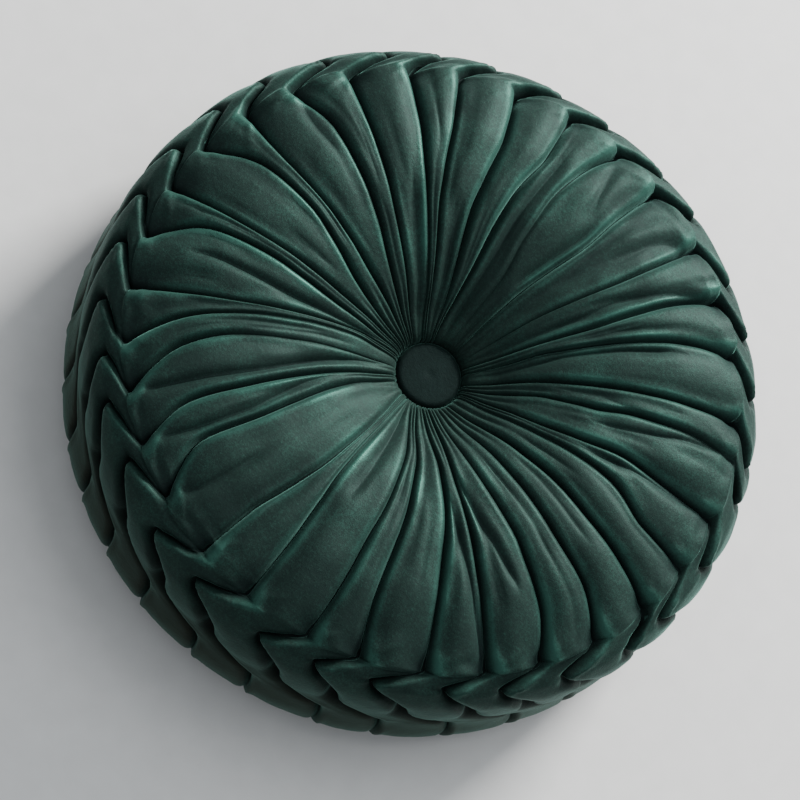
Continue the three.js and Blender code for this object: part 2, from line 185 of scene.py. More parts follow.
# The middle column follows the pleat's first lesser fold within these shares of the pleat. It goes
# over to the fold and back in this length, and runs half way again at the stitches.
MIDDLE_KEEPS_TO = (0.2, 0.8)
MIDDLE_GOES_OVER = 25
MIDDLE_IS_BACK = (160, STITCH_RING_RADIUS)

# The creases. The widest and steepest values are shares of the width of a pleat.
SLIT_WIDTH = 3.0
ROLLED_EDGE_WIDTH = 5.0
WIDEST_SIDE = 0.3
WIDEST_OPENING = 0.085
LEAN_REACH = 2.2
WIDEST_LEAN = 0.12
STEEPEST_FOLD = 0.6
SLIT_OF_STEEPEST = 0.6
TROUGH_OF_STEEPEST = 0.5
PANEL_FLATNESS = 1.25
# The radii between which a crease goes over from its cut half way in to its cut near the rim.
CUT_GOES_OVER = (85, 150)
# Stretches along the section, in millimetres past the ring of upper stitches: where all creases
# come to the same cut, where the even folds of the face start to overlap, where a stitch's own
# shift takes hold, and where the face's shades go over to the band's.
CUTS_EVEN_OUT = (0, 10)
FOLDS_OVERLAP = (-60, -4)
STITCHES_SHIFT = (0, 8)
SHADES_GO_OVER = (-4, 12)
# The back's pleats are pressed flat where they are lower than this.
PRESSED_BELOW = 0.6

# The dimple that the upper stitch draws in above its crease: its depth, how far from the crease
# and inwards of the stitch it lies, and its reach across and along the crease.
DIMPLE_DEPTH = 3.6
DIMPLE_FROM_CREASE = 5.0
DIMPLE_INWARDS = 1.0
DIMPLE_ACROSS = 6.5
DIMPLE_ALONG = 8.0

# How unevenly the stitches are set: how far down, in millimetres, and how far round, as a share.
STITCH_SEED = 8
LEAST_STITCH = (-3.0, 0.82)
MOST_STITCH = (3.0, 1.1)

# The lip that the cloth forms along the edges of a crease: its height, how far from the crease it
# stands and its width, on the face and at the upper stitches.
LIP_SEED = 3
LIP_ON_FACE = {"height": 1.1, "place": 3.2, "width": 1.7}
LIP_AT_STITCH = {"height": 2.4, "place": 5.4, "width": 3.8}
LIP_UNEVENNESS = (0.6, 1.3)
# Where the stitches swell the lip: the place past their ring and the reach. It dips again at a
# stitch's corner and at a fold's outer corner: place, reach and how much of the lip is lost.
STITCHES_SWELL = (3, 11)
LIP_DIPS = ((1, 6, 0.5), (20, 8, 0.5))
# The lip grows over these radii, and is full on a pleat as wide as this. The lower edge's lip is
# less high and ends before the stitches.
LIP_GROWS_OVER = (30, 70)
FULL_LIP_PLEAT = 18
FARTHEST_LIP = 0.2
WIDEST_LIP = 0.12
LOWER_LIP_SHARE = 0.5
LOWER_LIP_ENDS = (-22, -6)
LIPS_CLEAR_THE_FLOOR = (2.0, 14.0)

# Short ridges that the upper stitch pulls into the cloth beside its corner: how they turn away
# from the crease, and the least and most of their turn, height, width and length.
PUCKER_SEED = 5
PUCKER_TURNS = (26, 56)
LEAST_PUCKER = (-9, 0.3, 1.4, 16)
MOST_PUCKER = (9, 1.1, 2.4, 34)
PUCKER_RISES = (4, 12)
PUCKER_FADES_FROM = 0.4

# Fine creases that run beside the main ones for part of their length, a near and a far pair to a
# pleat. The least and most are of the radius where they start, their length, their distance from
# the main crease, their depth and how they draw away from it.
COMPANION_SEED = 11
COMPANIONS_PER_PLEAT = 4
LEAST_COMPANION = (40, 30, 3.2, 0.5, -0.03)
MOST_COMPANION = (125, 70, 6.5, 1.5, 0.06)
COMPANION_RISES = (-8, 10)
COMPANION_FADES = (-12, 6)
COMPANION_WIDTHS = (1.1, 1.6)
FARTHEST_COMPANION = 0.4
FAR_PAIR_SHIFT = 0.16
DEEPEST_COMPANION = 0.1

# The ends of the lesser folds, and their most depth and width as shares of their pleat. A sharp
# fold is narrower than a soft one.
SIDE_FOLD_RISES = (-8, 10)
SIDE_FOLD_FADES = (-10, 8)
DEEPEST_SIDE_FOLD = 0.22
WIDEST_SIDE_FOLD = 0.25
SHARP_FOLD_WIDTH = 0.5

# The small gather beside the button and the crown of a pleat, by radius.
GATHER_DEPTH = 1.6
GATHER_WIDTH = 0.12
GATHER_RISES = (18, 24)
GATHER_FADES = (30, 64)
CROWN_RISES = (40, 90)
CROWN_FADES = (150, 172)

# Unevenness of the cloth: the height and the length of each kind of swell.
SWELLS = ((0.55, 34.0), (0.3, 15.0), (0.12, 6.0))
SWELLS_CLEAR_THE_FLOOR = (1.0, 14.0)
SWELLS_CLEAR_THE_HUB = (21, 34)

# What the velvet's shades read: the depth of a full hollow, for the painted shade in creases, the
# height of a full crest, for the painted highlight along the lips, and how much less a crest
# counts on the band, the heights between which the band is painted darker and browner towards the
# floor, a painted shade, and how far the painted shade of a slit reaches to each side, as a share
# of its opening and in millimetres.
DEEPEST_HOLLOW = 8.0
FULL_CREST = 1.2
CREST_LOST_ON_BAND = 0.7
LOW_SHADE_HEIGHTS = (14.0, 104.0)
SLIT_SHADE_LOW_SIDE = (1.1, 0.9)
SLIT_SHADE_HIGH_SIDE = (1.7, 1.6)

# The cloth's seam, and the ends that are drawn in under the buttons, in metres.
SEAM_GAP = 1e-6
END_REACH = 2 * MM
END_DEPTH = 0.2 * MM
TINY = 1e-9
ROUNDING = 1e-6


def deselect_all():
    if bpy.context.mode != "OBJECT":
        bpy.ops.object.mode_set(mode="OBJECT")
    bpy.ops.object.select_all(action="DESELECT")


def take_new(name):
    piece = bpy.context.active_object
    piece.name = name
    piece.data.name = name
    return piece


def make_active(piece):
    deselect_all()
    piece.select_set(True)
    bpy.context.view_layer.objects.active = piece


def apply_modifier(piece, kind, name, **settings):
    make_active(piece)
    modifier = piece.modifiers.new(name, kind)
    for key, value in settings.items():
        setattr(modifier, key, value)
    bpy.ops.object.modifier_apply(modifier=name)


def place_in_mesh(piece):
    make_active(piece)
    bpy.ops.object.transform_apply(location=True, rotation=True, scale=True)


def smoothstep(value, low, high):
    share = np.clip((value - low) / (high - low), 0, 1)
    return share * share * (3 - 2 * share)


def curve_through(stops, values, at):
    """A smooth curve through the values that never overshoots them."""
    stops, values = np.asarray(stops, float), np.asarray(values, float)
    rise = np.diff(values) / np.diff(stops)
    before, after = rise[:-1], rise[1:]
    same_way = before * after > 0
    slope = np.concatenate((rise[:1], np.zeros(len(rise) - 1), rise[-1:]))
    slope[1:-1][same_way] = 2 * (before * after)[same_way] / (before + after)[same_way]
    at = np.clip(at, stops[0], stops[-1])
    span = np.clip(np.searchsorted(stops, at, side="right") - 1, 0, len(stops) - 2)
    width = stops[span + 1] - stops[span]
    t = (at - stops[span]) / width
    start = (1 + 2 * t) * (1 - t) ** 2 * values[span] + t * (1 - t) ** 2 * width * slope[span]
    end = t * t * (3 - 2 * t) * values[span + 1] - t * t * (1 - t) * width * slope[span + 1]
    return start + end


def between(value, rise, fall, start=0, end=0):
    """1 from the start to the end. The rise and the fall are spans measured from these."""
    up = smoothstep(value, start + rise[0], start + rise[1])
    return up * (1 - smoothstep(value, end + fall[0], end + fall[1]))


def rolled(gap, reach):
    """How far a rounded edge has dropped: fully at the crease, not at all from its reach on."""
    near = np.clip(1 - gap / reach, 0, 1)
    return 1 - np.sqrt(1 - near * near)


class Section:
    """The stations joined by smooth curves, with a value of each column for every row."""

    def __init__(self):
        table = [station[1:] for station in STATIONS]
        columns = [np.array(column, float) for column in zip(*table)]
        radius, height, rows = columns[0], columns[1], columns[-1]
        length = np.concatenate(([0], np.cumsum(np.hypot(np.diff(radius), np.diff(height)))))
        shares = [np.arange(int(count)) / count for count in rows[:-1]]
        at = [length[i] + share * (length[i + 1] - length[i]) for i, share in enumerate(shares)]
        self.at = np.concatenate(at + [length[-1:]])
        self.count = len(self.at)
        smooth = [curve_through(length, column, self.at) for column in columns[:-1]]
        self.radius, self.height, self.slit, self.trough = smooth[:4]
        self.swing, self.lean, self.fall, self.opening = smooth[4:]
        zones = [station[0] for station in STATIONS]
        first_band = self.at.searchsorted(length[zones.index(BAND)] - ROUNDING)
        first_back = self.at.searchsorted(length[zones.index(BACK)] - ROUNDING)
        self.face = slice(0, first_band)
        self.band = slice(first_band, first_back)
        self.back = slice(first_back, self.count)
        self.on_face = np.arange(self.count) < first_band
        on_back = np.arange(self.count) >= first_back
        self.pressed = on_back & (self.height < PRESSED_BELOW)
        self.rim = self.at[first_band]

    def past_rim(self, span):
        """Rises from 0 to 1 over a span that is measured from the ring of upper stitches."""
        return smoothstep(self.at, self.rim + span[0], self.rim + span[1])

    def near_rim(self, place, reach):
        """1 at a place past the ring of upper stitches, and less within its reach."""
        return np.exp(-(((self.at - self.rim - place) / reach) ** 2))


def crease_azimuths(section):
    """The azimuth of each crease on each row, one column more than there are pleats."""
    count = len(PLEATS)
    rim = np.array([pleat[0][0] for pleat in PLEATS])
    even = np.arange(count) * 360 / count
    even += (rim - even).mean() + LOWER_STITCH_SWING
    rings = FACE_RINGS[::-1]
    table = np.empty((section.count, count))
    face, back = section.face, section.back
    for index, pleat in enumerate(PLEATS):
        table[face, index] = curve_through(rings, pleat[0][::-1], section.radius[face])
    table[section.band] = rim + uneven_swing(section)
    evened = 1 - smoothstep(section.radius[back, None], HUB_RING_RADIUS, STITCH_RING_RADIUS)
    table[back] = (rim + LOWER_STITCH_SWING) * (1 - evened) + even * evened
    return np.concatenate((table, table[:, :1] + 360), axis=1)


def uneven_swing(section):
    """The way each crease moves round the band, with its stitches set a little unevenly."""
    draw = np.random.RandomState(STITCH_SEED)
    at, usual = section.at[section.band], section.swing[section.band]
    fade = section.past_rim(STITCHES_SHIFT)[section.band]
    columns = []
    for _ in PLEATS:
        shift, reach = draw.uniform(LEAST_STITCH, MOST_STITCH)
        swing = np.interp(at + shift * fade, at, usual)
        columns.append(np.where(swing < 0, swing * reach, swing))
    return np.stack(columns, axis=1)


def azimuth_along(path, radius):
    return curve_through([stop[0] for stop in path], [stop[1] for stop in path], radius)


def middle_shares(section, creases):
    """Where each pleat's middle column runs: along its first lesser fold, or half way."""
    shares = np.full((section.count, len(PLEATS)), 0.5)
    face = section.face
    radius = section.radius[face]
    rise, fall = (-MIDDLE_GOES_OVER, 0), (0, MIDDLE_GOES_OVER)
    done = set()
    for index, path, *_ in SIDE_FOLDS:
        if index in done:
            continue
        done.add(index)
        low, high = creases[face, index], creases[face, index + 1]
        wanted = np.clip((azimuth_along(path, radius) - low) / (high - low), *MIDDLE_KEEPS_TO)
        inside = between(radius, rise, fall, path[0][0], path[-1][0])
        inside *= 1 - smoothstep(radius, *MIDDLE_IS_BACK)
        shares[face, index] += (wanted - 0.5) * inside
    return shares


def unit(vectors):
    return vectors / np.maximum(np.linalg.norm(vectors, axis=-1, keepdims=True), TINY)


class Cover:
    """Every point of the cover by row and column: first the plain puffed form, then its folds."""

    def __init__(self):
        self.section = Section()
        self.creases = crease_azimuths(self.section)
        self.lay_columns()
        self.lay_form()
        self.measure_pleats()
        self.fold()

    def lay_columns(self):
        middles = middle_shares(self.section, self.creases)
        half = np.array(HALF_PLEAT)
        low_side = middles[..., None] * half
        mirrored = 1 - np.concatenate(([1.0], half[:0:-1]))
        high_side = middles[..., None] + (1 - middles[..., None]) * mirrored
        self.share = np.concatenate((low_side, high_side), axis=2)
        low, high = self.creases[:, :-1, None], self.creases[:, 1:, None]
        self.azimuth = low + (high - low) * self.share

    def lay_form(self):
        radius = self.section.radius[:, None, None]
        turn = np.radians(self.azimuth)
        oval = OVAL_SHIFT * np.cos(turn) + OVAL_STRETCH * np.sin(2 * turn)
        outwards = smoothstep(radius, HUB_RING_RADIUS, STITCH_RING_RADIUS)
        reach = radius + oval * outwards
        x = HUB_OFFSET[0] * (1 - outwards) + reach * np.cos(turn)
        y = HUB_OFFSET[1] * (1 - outwards) + reach * np.sin(turn)
        z = self.section.height[:, None, None] + 0 * turn
        self.form = np.stack((x, y, z), axis=-1).reshape(self.section.count, -1, 3)
        along = unit(np.gradient(self.form, axis=0))
        around = np.roll(self.form, -1, axis=1) - np.roll(self.form, 1, axis=1)
        across = around - (around * along).sum(-1, keepdims=True) * along
        whole = np.maximum(np.linalg.norm(around, axis=-1), TINY)
        self.squeeze = np.linalg.norm(across, axis=-1) / whole
        self.across = unit(across)
        self.outward = unit(np.cross(along, self.across))

    def measure_pleats(self):
        """The width of the pleats, the distance from their two creases and how deep those are."""
        section = self.section
        widths = np.radians(self.creases[:, 1:] - self.creases[:, :-1])[..., None]
        widths = widths * section.radius[:, None, None]
        self.widths = widths * self.squeeze.reshape(section.count, len(PLEATS), -1)
        self.from_low = self.share * self.widths
        self.from_high = (1 - self.share) * self.widths
        self.opening = np.minimum(section.opening[:, None, None], self.widths * WIDEST_OPENING)
        towards_rim = smoothstep(section.radius, *CUT_GOES_OVER)
        before_rim = 1 - section.past_rim(CUTS_EVEN_OUT)
        cuts = []
        for _, near_rim, half_way, _, _ in PLEATS:
            on_face = half_way + (near_rim - half_way) * towards_rim
            cuts.append(np.where(section.on_face, on_face, 1 + (near_rim - 1) * before_rim))
        cuts = np.stack(cuts, axis=1)
        self.low_cut = cuts[..., None]
        self.high_cut = np.roll(cuts, -1, axis=1)[..., None]

    def fold(self):
        section = self.section
        sink = self.crease_sink()
        sink = sink + self.side_folds() + self.companions() + self.gathers()
        sink = sink + self.high_cut * self.dimples()
        lips = self.lips()
        sink = sink - self.crowns() - lips
        sink = sink - self.swells() - self.puckers()

        near = self.from_low / LEAN_REACH
        lean = section.lean[:, None, None] * self.low_cut * near * np.exp(1 - near)
        lean = np.minimum(lean, self.widths * WIDEST_LEAN)

        flat_sink = sink.reshape(section.count, -1)[..., None]
        flat_lean = lean.reshape(section.count, -1)[..., None]
        straight_down = np.array((0.0, 0.0, -1.0))
        down = np.where(section.pressed[:, None, None], straight_down, self.outward)
        self.points = self.form - down * flat_sink - self.across * flat_lean
        self.shades = self.read_shades(sink, lips)

    def crease_sink(self):
        """How far the slits and troughs of the creases draw the cloth in."""
        section, share, widths = self.section, self.share, self.widths
        narrowest = np.minimum(widths, np.roll(widths, 1, axis=1)).min(axis=2, keepdims=True)
        limit = narrowest * STEEPEST_FOLD
        slit = np.minimum(section.slit[:, None, None], limit * SLIT_OF_STEEPEST)
        trough = np.minimum(section.trough[:, None, None], limit * TROUGH_OF_STEEPEST)
        slit_width = np.minimum(SLIT_WIDTH, widths * WIDEST_SIDE)
        edge_width = np.minimum(ROLLED_EDGE_WIDTH, widths * WIDEST_SIDE)
        fall = np.minimum(section.fall[:, None, None], widths * WIDEST_SIDE)

        round_off = (1 - np.sin(np.pi * np.clip(share, 0, 1))) ** PANEL_FLATNESS
        low_round = np.where(share < 0.5, round_off, 0)
        high_round = np.where(share >= 0.5, round_off, 0)
        beside_low = np.maximum(self.from_low - self.opening, 0)
        beside_high = np.maximum(self.from_high - self.opening, 0)
        sharp_low = rolled(beside_low, slit_width)
        sharp_high = rolled(beside_high, slit_width)
        soft_high = np.exp(-self.from_high / fall)

        even = self.low_cut * (slit * sharp_low + trough * low_round)
        even += self.high_cut * (slit * sharp_high + trough * high_round)
        wave = self.low_cut * (slit * rolled(beside_low, edge_width) + trough * low_round)
        wave += self.high_cut * (slit * rolled(beside_high, edge_width) + trough * soft_high)
        overlap = section.past_rim(FOLDS_OVERLAP)[:, None, None]
        sink = even * (1 - overlap) + wave * overlap

        pressed = np.minimum(section.slit[:, None, None], limit) * (sharp_low + sharp_high)
        return np.where(section.pressed[:, None, None], pressed, sink)

    def read_shades(self, sink, lips):
        """The values of each point that the velvet reads: the depth that sets the painted shade in
        creases, the crests that take a painted highlight, and the painted shade low on the band
        and in slits.
        """
        on_band = self.section.past_rim(SHADES_GO_OVER)[:, None, None]
        low_reach = SLIT_SHADE_LOW_SIDE[0] * self.opening + SLIT_SHADE_LOW_SIDE[1]
        high_reach = SLIT_SHADE_HIGH_SIDE[0] * self.opening + SLIT_SHADE_HIGH_SIDE[1]
        beside = np.minimum(self.from_low / low_reach, self.from_high / high_reach)
        return {
            "hollow": np.clip(np.abs(sink) / DEEPEST_HOLLOW, 0, 1),
            "crest": np.clip(lips / FULL_CREST, 0, 1) * (1 - CREST_LOST_ON_BAND * on_band),
            "low": 1 - smoothstep(self.form[..., 2], *LOW_SHADE_HEIGHTS),
            "slit": on_band * np.exp(-(beside**2)),
        }

    def lips(self):
        section, widths = self.section, self.widths
        at_stitch = section.near_rim(*STITCHES_SWELL)[:, None, None]

        def along(key):
            return LIP_ON_FACE[key] + (LIP_AT_STITCH[key] - LIP_ON_FACE[key]) * at_stitch

        uneven = np.random.RandomState(LIP_SEED).uniform(*LIP_UNEVENNESS, len(PLEATS))
        high = along("height") * (1 + (uneven[None, :, None] - 1) * at_stitch)
        kept = 1
        for dip_place, dip_reach, lost in LIP_DIPS:
            kept = kept - lost * section.near_rim(dip_place, dip_reach)
        high = high * kept[:, None, None]
        high = high * smoothstep(section.radius, *LIP_GROWS_OVER)[:, None, None]
        high = high * np.minimum(1, widths / FULL_LIP_PLEAT)
        place = np.minimum(along("place"), widths * FARTHEST_LIP)
        wide = np.minimum(along("width"), widths * WIDEST_LIP)
        upper = np.exp(-(((self.from_low - place) / wide) ** 2))
        lower = np.exp(-(((self.from_high - place) / wide) ** 2))
        before_stitch = 1 - section.past_rim(LOWER_LIP_ENDS)[:, None, None]
        lower_lip = LOWER_LIP_SHARE * self.high_cut * lower * before_stitch
        clear = smoothstep(section.height, *LIPS_CLEAR_THE_FLOOR)[:, None, None]
        return clear * high * (self.low_cut * upper + lower_lip)

    def dimples(self):
        along = self.section.near_rim(-DIMPLE_INWARDS, DIMPLE_ALONG)
        across = np.exp(-(((self.from_high - DIMPLE_FROM_CREASE) / DIMPLE_ACROSS) ** 2))
        return DIMPLE_DEPTH * along[:, None, None] * across

    def puckers(self):
        inwards = (self.section.rim - self.section.at)[:, None]
        draw = np.random.RandomState(PUCKER_SEED)
        height = np.zeros(self.azimuth.shape)
        for index in range(len(PLEATS)):
            across = self.from_low[:, index]
            for usual_turn in PUCKER_TURNS:
                turn, tall, wide, length = draw.uniform(LEAST_PUCKER, MOST_PUCKER)
                turn = math.radians(usual_turn + turn)
                along = across * math.sin(turn) + inwards * math.cos(turn)
                away = across * math.cos(turn) - inwards * math.sin(turn)
                fade = between(along, PUCKER_RISES, (length * PUCKER_FADES_FROM, length))
                height[:, index] += tall * np.exp(-((away / wide) ** 2)) * fade
        return height

    def face_widths(self, index):
        face = self.section.face
        turn = self.creases[face, index + 1] - self.creases[face, index]
        return np.radians(turn) * self.section.radius[face]

    def companions(self):
        """Fine creases that keep beside a main one, each over its own stretch of the face."""
        draw = np.random.RandomState(COMPANION_SEED)
        depth = np.zeros(self.azimuth.shape)
        face = self.section.face
        radius = self.section.radius[face]
        for index in range(len(PLEATS)):
            widths = self.face_widths(index)
            for companion in range(COMPANIONS_PER_PLEAT):
                start, length, away, deep, slope = draw.uniform(LEAST_COMPANION, MOST_COMPANION)
                pair, on_high_side = divmod(companion, 2)
                fade = between(radius, COMPANION_RISES, COMPANION_FADES, start, start + length)
                reach = np.minimum(away + slope * (radius - start), widths * FARTHEST_COMPANION)
                reach += widths * (FAR_PAIR_SHIFT * pair)
                share = self.share[face, index]
                if on_high_side:
                    share = 1 - share
                gap = np.abs(share * widths[:, None] - reach[:, None])
                deep_here = (np.minimum(deep, widths * DEEPEST_COMPANION) * fade)[:, None]
                depth[face, index] += deep_here * np.exp(-gap / COMPANION_WIDTHS[pair])
        return depth

    def swells(self):
        """A slow unevenness of the cloth all over."""
        height = np.zeros(self.form.shape[:2])
        for tall, wave in SWELLS:
            for row in range(self.section.count):
                for column, (x, y, z) in enumerate(self.form[row] / wave):
                    height[row, column] += tall * noise.noise((x, y, z + wave))
        low = smoothstep(self.section.height, *SWELLS_CLEAR_THE_FLOOR)[:, None]
        hub = smoothstep(self.section.radius, *SWELLS_CLEAR_THE_HUB)[:, None]
        return (height * low * hub).reshape(self.azimuth.shape)

    def side_folds(self):
        depth = np.zeros(self.azimuth.shape)
        face = self.section.face
        radius = self.section.radius[face]
        for index, path, deep, wide, sharp in SIDE_FOLDS:
            middle = azimuth_along(path, radius)
            tilt = np.gradient(np.radians(middle), radius) * radius
            slant = np.hypot(1, tilt)[:, None]
            widths = self.face_widths(index)
            fade = between(radius, SIDE_FOLD_RISES, SIDE_FOLD_FADES, path[0][0], path[-1][0])
            deep_here = (np.minimum(deep, widths * DEEPEST_SIDE_FOLD) * fade)[:, None]
            wide_here = np.minimum(wide, widths * WIDEST_SIDE_FOLD)[:, None]
            for pleat in (index - 1, index, (index + 1) % len(PLEATS)):
                turn = self.azimuth[face, pleat] - middle[:, None]
                turn = (turn + 180) % 360 - 180
                away = np.abs(np.radians(turn) * radius[:, None] / slant)
                soft = np.exp(-((away / wide_here) ** 2))
                crisp = np.exp(-away / (wide_here * SHARP_FOLD_WIDTH))
                depth[face, pleat] += deep_here * (sharp * crisp + (1 - sharp) * soft)
        return depth

    def gathers(self):
        """One small gather in the middle of each pleat where it is drawn in at a hub."""
        at_hub = between(self.section.radius[:, None], GATHER_RISES, GATHER_FADES)
        strength = np.array([pleat[3] for pleat in PLEATS])[None, :]
        deep = (GATHER_DEPTH * at_hub * strength)[..., None]
        return deep * np.exp(-(((self.share - 0.5) / GATHER_WIDTH) ** 2))

    def crowns(self):
        lift = np.array([pleat[4] for pleat in PLEATS])[None, :, None]
        where = between(self.section.radius, CROWN_RISES, CROWN_FADES) * self.section.on_face
        return lift * where[:, None, None] * np.sin(np.pi * self.share) ** 2


def box_centre(node):
    low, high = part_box(node)
    return (Vector(low) + Vector(high)) / 2


def select_in_mesh(piece, kind, test):
    """Leaves only the edges or faces that pass the test selected, in edit mode."""
    make_active(piece)
    bpy.ops.object.mode_set(mode="EDIT")
    bpy.ops.mesh.select_mode(type=kind)
    bpy.ops.mesh.select_all(action="DESELECT")
    bpy.ops.object.mode_set(mode="OBJECT")
    for element in piece.data.edges if kind == "EDGE" else piece.data.polygons:
        element.select = test(element)
    bpy.ops.object.mode_set(mode="EDIT")


def close_end(piece, rim_height, depth):
    """Draws an open end of the tube in to one point under its button."""
    vertices = piece.data.vertices

    def on_rim(edge):
        ends = [vertices[index].co for index in edge.vertices]
        level = all(abs(end.z - rim_height) < END_REACH for end in ends)
        return level and edge.index in open_edges

    uses = np.zeros(len(piece.data.edges), int)
    loops = np.empty(len(piece.data.loops), int)
    piece.data.loops.foreach_get("edge_index", loops)
    np.add.at(uses, loops, 1)
    open_edges = set(np.flatnonzero(uses == 1).tolist())
    select_in_mesh(piece, "EDGE", on_rim)
    bpy.ops.mesh.extrude_edges_move(TRANSFORM_OT_translate={"value": (0, 0, depth)})
    bpy.ops.mesh.merge(type="CENTER")
    deselect_all()


def build_cover(hub):
    """A strip of cloth joined into a tube, gathered, folded, and drawn in at both ends."""
    cover = Cover()
    rows, columns = cover.points.shape[:2]
    deselect_all()
    bpy.ops.mesh.primitive_grid_add(x_subdivisions=columns, y_subdivisions=rows - 1, size=1)
    piece = take_new("pleated_cover")
    mesh = piece.data
    place = np.empty(len(mesh.vertices) * 3)
    mesh.vertices.foreach_get("co", place)
    place = place.reshape(-1, 3)
    column = np.rint((place[:, 0] + 0.5) * columns).astype(int) % columns
    row = np.rint((place[:, 1] + 0.5) * (rows - 1)).astype(int)
    shift = np.array((hub.x / MM - HUB_OFFSET[0], hub.y / MM - HUB_OFFSET[1], 0))
    mesh.vertices.foreach_set("co", ((cover.points[row, column] + shift) * MM).ravel())
    for name, values in cover.shades.items():
        shade = mesh.attributes.new(name, "FLOAT", "POINT")
        shade.data.foreach_set("value", values.reshape(rows, columns)[row, column])
    mesh.update()
    make_active(piece)
    bpy.ops.object.mode_set(mode="EDIT")
    bpy.ops.mesh.select_all(action="SELECT")
    bpy.ops.mesh.remove_doubles(threshold=SEAM_GAP)
    deselect_all()
    close_end(piece, cover.section.height[0] * MM, -END_DEPTH)
    close_end(piece, cover.section.height[-1] * MM, END_DEPTH)
    apply_modifier(piece, "TRIANGULATE", "Triangulate", quad_method="SHORTEST_DIAGONAL")
    make_active(piece)
    bpy.ops.object.mode_set(mode="EDIT")
    bpy.ops.mesh.select_all(action="SELECT")
    bpy.ops.mesh.normals_make_consistent(inside=False)
    deselect_all()
    make_active(piece)
    bpy.ops.object.shade_smooth()
    return piece


# The buttons: the share of the radius that shows out of the gathers, how far the edges are rounded
# as shares of the thickness, and the rings of the front as shares of the radius.
BUTTON_SIDES = 96
BUTTON_SHOWING = 0.95
FRONT_ROUNDING = 0.42
BACK_ROUNDING = 0.2
FRONT_RINGS = (0.7, 0.58, 0.45, 0.33, 0.22, 0.13, 0.06)
# The dome and the tied middle as shares of the thickness, and the reach of the tie.
DOME_DROP = 0.1
TIE_DEPTH = 0.05
TIE_REACH = 0.12
# The tucks round the rim: their number, how uneven they are, their depth, how much of it lifts
# the cloth, and where on the radius they start and over which share of it they grow.
BUTTON_TUCKS = 22
TUCK_UNEVENNESS = 1.3
TUCK_DEPTH = 0.012
TUCK_LIFT = 0.3
TUCKS_START = 0.72
TUCKS_GROW_OVER = 0.28


def build_button(name, node, faces_up):
    """A covered button: a short drum, its rim rolled over, a low domed front and a tied middle."""
    low, high = (Vector(corner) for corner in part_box(node))
    rim = (high.x - low.x) / 2 * BUTTON_SHOWING
    thick = high.z - low.z
    middle = box_centre(node)
    deselect_all()
    bpy.ops.mesh.primitive_cylinder_add(
        vertices=BUTTON_SIDES, radius=rim, depth=thick, end_fill_type="NGON", location=(0, 0, 0)
    )
    piece = take_new(name)

    def level(edge):
        return [piece.data.vertices[index].co.z for index in edge.vertices]

    select_in_mesh(piece, "EDGE", lambda edge: min(level(edge)) > 0)
    rounding = thick * FRONT_ROUNDING
    bpy.ops.mesh.bevel(offset=rounding, segments=8, profile=0.55, affect="EDGES")
    bpy.ops.object.mode_set(mode="OBJECT")
    select_in_mesh(piece, "EDGE", lambda edge: max(level(edge)) < -thick * 0.49)
    bpy.ops.mesh.bevel(offset=thick * BACK_ROUNDING, segments=3, profile=0.5, affect="EDGES")
    bpy.ops.object.mode_set(mode="OBJECT")

    def is_front(face):
        return face.normal.z > 0.99 and len(face.vertices) == BUTTON_SIDES

    select_in_mesh(piece, "FACE", is_front)
    inner = rim - rounding
    for share in FRONT_RINGS:
        bpy.ops.mesh.inset(thickness=inner - rim * share, depth=0)
        inner = rim * share
    bpy.ops.object.mode_set(mode="OBJECT")
    for vertex in piece.data.vertices:
        shape_button_point(vertex, rim, thick)
    if not faces_up:
        piece.rotation_euler = (math.pi, 0, 0)
    piece.location = middle
    place_in_mesh(piece)
    bpy.ops.object.shade_smooth()
    return piece


def shape_button_point(vertex, rim, thick):
    """Domes the front, ties in its middle a little and tucks the cloth that goes round the rim."""
    place = vertex.co
    out = math.hypot(place.x, place.y) / rim
    turn = math.atan2(place.y, place.x)
    dome = -DOME_DROP * thick * out * out
    tied = -TIE_DEPTH * thick * math.exp(-((out / TIE_REACH) ** 2))
    wave = math.sin(BUTTON_TUCKS * turn + TUCK_UNEVENNESS * math.sin(3 * turn))
    tuck = TUCK_DEPTH * rim * wave * max(0.0, (out - TUCKS_START) / TUCKS_GROW_OVER)
    front = 1 if place.z > 0 else 0
    place.z += front * (dome + tied) + TUCK_LIFT * tuck * front
    place.x -= max(tuck, 0) * math.cos(turn)
    place.y -= max(tuck, 0) * math.sin(turn)


class Value:
    """A number that varies over a surface: an output socket with arithmetic."""

    def __init__(self, finish, socket):
        self.finish = finish
        self.socket = socket

    def sum(self, operation, left, right):
        node = self.finish.node("ShaderNodeMath", {"operation": operation}, {0: left, 1: right})
        return node.out("Value")

    def __add__(self, other):
        return self.sum("ADD", self, other)

    def __radd__(self, other):
        return self.sum("ADD", other, self)

    def __sub__(self, other):
        return self.sum("SUBTRACT", self, other)

    def __rsub__(self, other):
        return self.sum("SUBTRACT", other, self)

    def __mul__(self, other):
        return self.sum("MULTIPLY", self, other)

    def __rmul__(self, other):
        return self.sum("MULTIPLY", other, self)

    def __pow__(self, other):
        return self.sum("POWER", self, other)


class Node:
    """A shader node whose outputs are values."""

    def __init__(self, finish, node):
        self.finish = finish
        self.node = node

    def out(self, name):
        return Value(self.finish, self.node.outputs[name])


